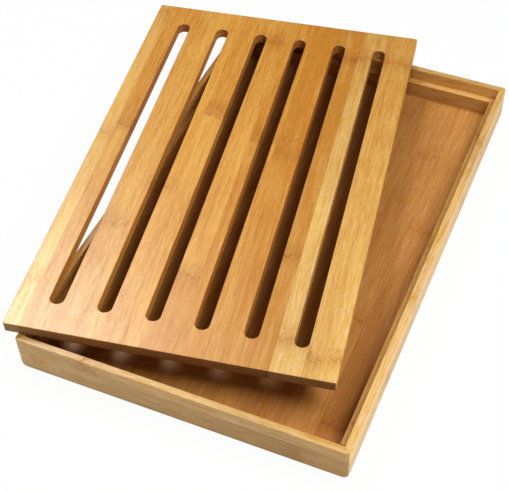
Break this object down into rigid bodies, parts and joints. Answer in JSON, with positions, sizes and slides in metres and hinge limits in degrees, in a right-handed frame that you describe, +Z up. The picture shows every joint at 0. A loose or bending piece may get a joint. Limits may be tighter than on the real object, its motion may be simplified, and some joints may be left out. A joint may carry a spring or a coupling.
{
  "type": "bread board",
  "caption": "Slotted bamboo bread board that lies on a shallow tray and lets the crumbs fall through into it.",
  "frame": {"origin": "on the surface that the tray stands on, under the middle of the tray's front wall and half way through its thickness", "axes": "+X runs to the right along the tray's short front wall, +Y runs to the back along the tray's long walls, +Z is up"},
  "size_m": [0.354, 0.4608, 0.0442],
  "materials": {
    "board_light": "satin oiled bamboo, light strips",
    "board_mid": "satin oiled bamboo, honey strips",
    "board_dark": "satin oiled bamboo, darker strips",
    "tray_walls": "satin bamboo, side grain",
    "tray_floor": "satin bamboo panel",
    "tray_ledges": "satin bamboo, side grain"
  },
  "bodies": {
    "tray": {"tray_front_wall": "tray_walls", "tray_back_wall": "tray_walls", "tray_left_wall": "tray_walls", "tray_right_wall": "tray_walls", "tray_bottom": "tray_floor", "ledge_front": "tray_ledges", "ledge_back": "tray_ledges", "ledge_left": "tray_ledges", "ledge_right": "tray_ledges"},
    "board": {"board_strip_01": "board_light", "board_strip_02": "board_mid", "board_strip_03": "board_light", "board_strip_04": "board_mid", "board_strip_05": "board_mid", "board_strip_06": "board_mid", "board_strip_07": "board_mid", "board_strip_08": "board_dark", "board_strip_09": "board_dark", "board_strip_10": "board_light", "board_strip_11": "board_mid"}
  },
  "joints": [
    {"name": "board_lift", "type": "slide", "parent": "tray", "child": "board", "axis": [0, 0, 1], "range_m": [0, 0.15]}
  ]
}
